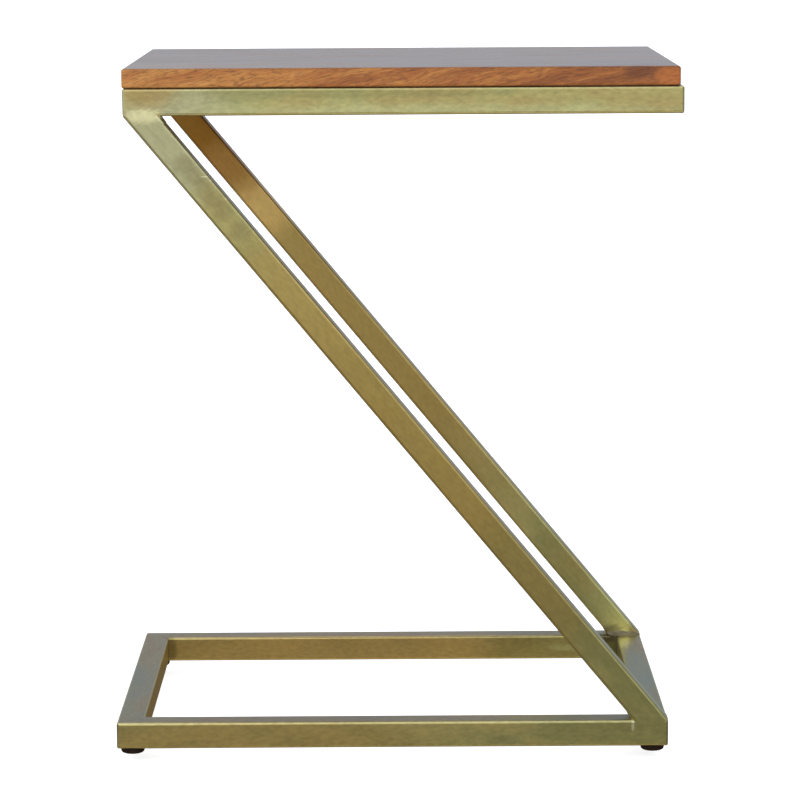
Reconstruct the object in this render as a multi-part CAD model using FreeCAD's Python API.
import FreeCAD, Part
import math
import os

# Z-shaped side table: a glued-up wooden top on a welded frame of square steel tube, with levelling feet.
# Millimetres, +Z up. X runs along the table, the front faces -Y, and the floor is z = 0.
# The origin is on the floor, under the middle of the overall length and depth.

# Overall sizes
overall_height = 640.0
frame_depth = 380.0
top_frame_length = 511.0
base_frame_length = 516.0
base_lead = 16.0  # the base frame starts this far to the left of the top frame

# Square steel tube of both frames and the legs
tube_width = 25.0
tube_wall = 1.5
tube_corner_radius = 2.5
tube_bore_radius = 1.0
frame_corner_radius = 3.0  # vertical corners of the mitred frames, rounded by grinding

# Wooden top
board_thickness = 18.0
board_count = 4
board_left_overhang = 0.5  # past the top frame's left end
board_right_setback = 3.5  # short of the top frame's right end
board_edge_radius = 2.5

# Fixing tabs inside the top frame
tab_length = 40.0
tab_reach = 26.0
tab_thickness = 3.0
tab_corner_radius = 5.0
tab_spacing = 300.0
slot_length = 10.0
slot_clearance = 0.5  # beside the screw shank

# Screws and washers that hold the top
screw_shank_radius = 2.0
screw_head_radius = 4.2
screw_head_height = 2.8
screw_tip_length = 4.0
screw_grip = 11.0  # depth of the screw in the wood
pilot_clearance = 0.05
washer_radius = 5.5
washer_thickness = 1.0
washer_clearance = 0.2

# Levelling feet
foot_height = 6.0  # floor to base frame, with the feet screwed right in
foot_radius = 11.0
foot_inset = 14.0  # from the ends and faces of the base frame to the foot's centre
foot_edge_radius = 2.5
foot_rim_chamfer = 0.6
stud_radius = 3.0
stud_length = 20.0
stud_chamfer = 0.8
stud_seat_height = 1.6  # pad thickness under the stud
stud_seat_clearance = 0.05
thread_clearance = 0.05
insert_barrel_radius = 4.5
insert_barrel_height = 10.0  # above the base frame's underside
insert_hole_clearance = 0.05
insert_flange_radius = 6.5
insert_flange_thickness = 1.0
insert_bulge_radius = 5.8  # the crimped collar above the tube wall
insert_bulge_height = 3.0
flange_recess_clearance = 0.3  # around and under the flange, in the pad

# Levels
base_bottom = foot_height
base_top = base_bottom + tube_width
board_bottom = overall_height - board_thickness
top_frame_bottom = board_bottom - tube_width

# Places along X, with the origin in the middle of the overall length
overall_left = min(-base_lead, 0.0)
overall_right = max(base_frame_length - base_lead, top_frame_length)
overall_middle = (overall_left + overall_right) / 2
top_left = -overall_middle
top_middle = top_left + top_frame_length / 2
base_left = top_left - base_lead
base_right = base_left + base_frame_length
base_middle = base_left + base_frame_length / 2

# Slant of the legs: each fills the corner under the top frame's left end and over the base frame's right end
leg_rise = top_frame_bottom - base_top
leg_run = base_right - top_left
leg_angle = math.atan2(leg_rise, leg_run) + math.asin(tube_width / math.hypot(leg_rise, leg_run))
leg_cut_length = tube_width / math.sin(leg_angle)

# Stack of a top fixing, from the boards down: a tab is welded on the flat of a rail, under its rounded edge
tab_bottom = board_bottom - tube_corner_radius - tab_thickness
washer_bottom = tab_bottom - washer_thickness
fixing_inset = tube_width + tab_reach / 2  # from the frame's face to the screw

origin = FreeCAD.Vector(0, 0, 0)
along_x = FreeCAD.Vector(1, 0, 0)
along_y = FreeCAD.Vector(0, 1, 0)
along_z = FreeCAD.Vector(0, 0, 1)


def edges_along(shape, direction):
    """The straight edges of a box that run along one direction."""
    chosen = []
    for edge in shape.Edges:
        run = edge.Vertexes[1].Point - edge.Vertexes[0].Point
        if run.cross(direction).Length < 0.001 * run.Length:
            chosen.append(edge)
    return chosen


def rounded_bar(length, width, height, radius):
    """A bar along X from x = 0, centred on the X axis, with its long edges rounded."""
    corner = FreeCAD.Vector(0, -width / 2, -height / 2)
    bar = Part.makeBox(length, width, height, corner)
    return bar.makeFillet(radius, edges_along(bar, along_x))


def square_tube(length):
    """The frame's hollow tube along X, centred on the origin."""
    bore_width = tube_width - 2 * tube_wall
    outer = rounded_bar(length, tube_width, tube_width, tube_corner_radius)
    bore = rounded_bar(length, bore_width, bore_width, tube_bore_radius)
    tube = outer.cut(bore)
    tube.translate(along_x * (-length / 2))
    return tube


def prism(corners, bottom, height):
    """A straight-sided block over a plan outline given as (x, y) corners."""
    points = [FreeCAD.Vector(x, y, bottom) for x, y in corners]
    outline = Part.makePolygon(points + points[:1])
    return Part.Face(outline).extrude(along_z * height)


def turned(profile):
    """A solid of revolution about the Z axis, from a closed (radius, height) profile."""
    points = [FreeCAD.Vector(radius, 0, height) for radius, height in profile]
    outline = Part.makePolygon(points + points[:1])
    return Part.Face(outline).revolve(origin, along_z, 360)


def mitred_rail(length, face_distance, turn):
    """A rail of a frame around the Z axis, cut at 45 degrees at both ends and turned to its side."""
    half = length / 2
    tube = square_tube(length)
    tube.translate(FreeCAD.Vector(0, tube_width / 2 - face_distance, tube_width / 2))
    inner_half = half - tube_width
    inner_face = tube_width - face_distance
    corners = [(-half, -face_distance), (half, -face_distance), (inner_half, inner_face), (-inner_half, inner_face)]
    rail = tube.common(prism(corners, 0, tube_width))
    rail.rotate(origin, along_z, turn)
    return rail


def mitred_frame(prefix, length, middle, bottom):
    """The four rails of a rectangular frame, with its vertical corners ground round."""
    corner = FreeCAD.Vector(-length / 2, -frame_depth / 2, 0)
    outline = Part.makeBox(length, frame_depth, tube_width, corner)
    outline = outline.makeFillet(frame_corner_radius, edges_along(outline, along_z))
    sides = [("front", length, frame_depth), ("right", frame_depth, length)]
    sides += [("rear", length, frame_depth), ("left", frame_depth, length)]
    rails = {}
    for quarter, (side, rail_length, across) in enumerate(sides):
        rail = mitred_rail(rail_length, across / 2, 90 * quarter).common(outline)
        rail.translate(FreeCAD.Vector(middle, 0, bottom))
        rails[f"{prefix}_{side}_rail"] = rail
    return rails


def leg(face_y):
    """A slanted tube between the frames, cut level at both ends, with its front face at face_y."""
    overlong = leg_rise / math.sin(leg_angle) + 2 * leg_cut_length
    tube = square_tube(overlong)
    tube.rotate(origin, along_y, math.degrees(leg_angle))
    middle_x = (top_left + base_right) / 2
    middle_z = (base_top + top_frame_bottom) / 2
    tube.translate(FreeCAD.Vector(middle_x, face_y + tube_width / 2, middle_z))
    room_corner = FreeCAD.Vector(top_left - tube_width, face_y - tube_width, base_top)
    room = Part.makeBox(leg_run + 2 * tube_width, 3 * tube_width, leg_rise, room_corner)
    return tube.common(room)


def fixing_places():
    """(name, x, turn about the top frame's middle) of the four top fixings."""
    half = tab_spacing / 2
    return [
        ("front_left", -half, 0),
        ("front_right", half, 0),
        ("rear_right", -half, 180),
        ("rear_left", half, 180),
    ]


def place_fixing(shape, x, turn):
    """Moves a fixing piece, modelled at the screw's axis, to its place inside the top frame."""
    shape.translate(FreeCAD.Vector(x, fixing_inset - frame_depth / 2, 0))
    shape.rotate(origin, along_z, turn)
    shape.translate(along_x * top_middle)
    return shape


def fixing_tab():
    """A steel tab with a slot across the frame, its outer edge against the rail's inner face."""
    corner = FreeCAD.Vector(-tab_length / 2, -tab_reach / 2, tab_bottom)
    plate = Part.makeBox(tab_length, tab_reach, tab_thickness, corner)
    free_corners = [edge for edge in edges_along(plate, along_z) if edge.CenterOfMass.y > 0]
    plate = plate.makeFillet(tab_corner_radius, free_corners)
    slot_radius = screw_shank_radius + slot_clearance
    half_straight = slot_length / 2 - slot_radius
    sides = [(-slot_radius, -half_straight), (slot_radius, -half_straight)]
    sides += [(slot_radius, half_straight), (-slot_radius, half_straight)]
    slot = prism(sides, tab_bottom, tab_thickness)
    for end in (-half_straight, half_straight):
        slot = slot.fuse(Part.makeCylinder(slot_radius, tab_thickness, FreeCAD.Vector(0, end, tab_bottom)))
    return plate.cut(slot)


def fixing_washer():
    """A flat washer under a tab."""
    ring = Part.makeCylinder(washer_radius, washer_thickness, FreeCAD.Vector(0, 0, washer_bottom))
    hole_radius = screw_shank_radius + washer_clearance
    return ring.cut(Part.makeCylinder(hole_radius, washer_thickness, FreeCAD.Vector(0, 0, washer_bottom)))


def screw_shank(radius, grip):
    """A pointed shank from the washer up into the boards."""
    tip = board_bottom + grip
    return turned([(0, washer_bottom), (radius, washer_bottom), (radius, tip - screw_tip_length), (0, tip)])


def fixing_screw():
    """A wood screw with a domed head under the washer."""
    dome_radius = (screw_head_radius ** 2 + screw_head_height ** 2) / (2 * screw_head_height)
    dome_centre = FreeCAD.Vector(0, 0, washer_bottom - screw_head_height + dome_radius)
    head_room = Part.makeCylinder(
        screw_head_radius, screw_head_height, FreeCAD.Vector(0, 0, washer_bottom - screw_head_height)
    )
    head = Part.makeSphere(dome_radius, dome_centre).common(head_room)
    return head.fuse(screw_shank(screw_shank_radius, screw_grip)).removeSplitter()


def wooden_top():
    """The boards of the top, front to rear, rounded along the outline and drilled for the screws."""
    length = top_frame_length + board_left_overhang - board_right_setback
    corner = FreeCAD.Vector(top_left - board_left_overhang, -frame_depth / 2, board_bottom)
    slab = Part.makeBox(length, frame_depth, board_thickness, corner)
    slab = slab.makeFillet(board_edge_radius, slab.Edges)
    for name, x, turn in fixing_places():
        pilot = screw_shank(screw_shank_radius + pilot_clearance, screw_grip + pilot_clearance)
        slab = slab.cut(place_fixing(pilot, x, turn))
    board_width = frame_depth / board_count
    boards = {}
    for number in range(board_count):
        strip_corner = corner + along_y * (number * board_width)
        strip = Part.makeBox(length, board_width, board_thickness, strip_corner)
        boards[f"top_board_{number + 1}"] = slab.common(strip)
    return boards


def foot_places():
    """(name, x, y) of the four feet, at the base frame's corners."""
    across = frame_depth / 2 - foot_inset
    ends = [("left", base_left + foot_inset), ("right", base_right - foot_inset)]
    sides = [("front", -across), ("rear", across)]
    return [(f"{side}_{end}", x, y) for side, y in sides for end, x in ends]


def foot_insert():
    """A crimped threaded insert: a flange under the tube wall and a bulge above it."""
    bore = stud_radius + thread_clearance
    wall_top = base_bottom + tube_wall
    bulge_top = wall_top + insert_bulge_height
    barrel_top = base_bottom + insert_barrel_height
    flange_bottom = base_bottom - insert_flange_thickness
    return turned([
        (bore, flange_bottom),
        (insert_flange_radius, flange_bottom),
        (insert_flange_radius, base_bottom),
        (insert_barrel_radius, base_bottom),
        (insert_barrel_radius, wall_top),
        (insert_bulge_radius, wall_top),
        (insert_barrel_radius, bulge_top),
        (insert_barrel_radius, barrel_top),
        (bore, barrel_top),
    ])


def foot_stud():
    """The threaded stud, standing in the pad."""
    top = stud_seat_height + stud_length
    return turned([
        (0, stud_seat_height),
        (stud_radius, stud_seat_height),
        (stud_radius, top - stud_chamfer),
        (stud_radius - stud_chamfer, top),
        (0, top),
    ])


def foot_pad():
    """A moulded pad with a round lower edge, a recess for the insert's flange and a socket for the stud."""
    pad = Part.makeCylinder(foot_radius, foot_height)
    top_edge = [edge for edge in pad.Edges if edge.BoundBox.ZMin > foot_height / 2]
    pad = pad.makeChamfer(foot_rim_chamfer, top_edge)
    floor_edge = [edge for edge in pad.Edges if edge.BoundBox.ZMax < foot_height / 2]
    pad = pad.makeFillet(foot_edge_radius, floor_edge)
    recess_depth = insert_flange_thickness + flange_recess_clearance
    recess_radius = insert_flange_radius + flange_recess_clearance
    recess = Part.makeCylinder(recess_radius, recess_depth, FreeCAD.Vector(0, 0, foot_height - recess_depth))
    socket_depth = foot_height - stud_seat_height
    socket = Part.makeCylinder(
        stud_radius + stud_seat_clearance, socket_depth, FreeCAD.Vector(0, 0, stud_seat_height)
    )
    return pad.cut(recess).cut(socket)


def build_table():
    """All the pieces of the table, by name."""
    pieces = wooden_top()
    pieces.update(mitred_frame("top", top_frame_length, top_middle, top_frame_bottom))
    pieces["front_leg"] = leg(-frame_depth / 2)
    pieces["rear_leg"] = leg(frame_depth / 2 - tube_width)
    base_rails = mitred_frame("base", base_frame_length, base_middle, base_bottom)

    screws = []
    washers = []
    for name, x, turn in fixing_places():
        pieces[f"fixing_tab_{name}"] = place_fixing(fixing_tab(), x, turn)
        washers.append(place_fixing(fixing_washer(), x, turn))
        screws.append(place_fixing(fixing_screw(), x, turn))
    pieces["fixing_screws"] = Part.makeCompound(screws)
    pieces["fixing_washers"] = Part.makeCompound(washers)

    hole_radius = insert_barrel_radius + insert_hole_clearance
    for name, x, y in foot_places():
        hole = Part.makeCylinder(hole_radius, tube_wall, FreeCAD.Vector(x, y, base_bottom))
        base_rails = {rail: shape.cut(hole) for rail, shape in base_rails.items()}
        place = FreeCAD.Vector(x, y, 0)
        for kind, piece in (("insert", foot_insert()), ("stud", foot_stud()), ("pad", foot_pad())):
            piece.translate(place)
            pieces[f"foot_{kind}_{name}"] = piece
    pieces.update(base_rails)
    return pieces


os.makedirs("parts", exist_ok=True)
for node, shape in build_table().items():
    solids = len(shape.Solids)
    print(f"{node}: {solids} solid(s), {shape.Volume / 1000:.2f} cm3, valid {shape.isValid()}")
    shape.exportStep(f"parts/{node}.step")
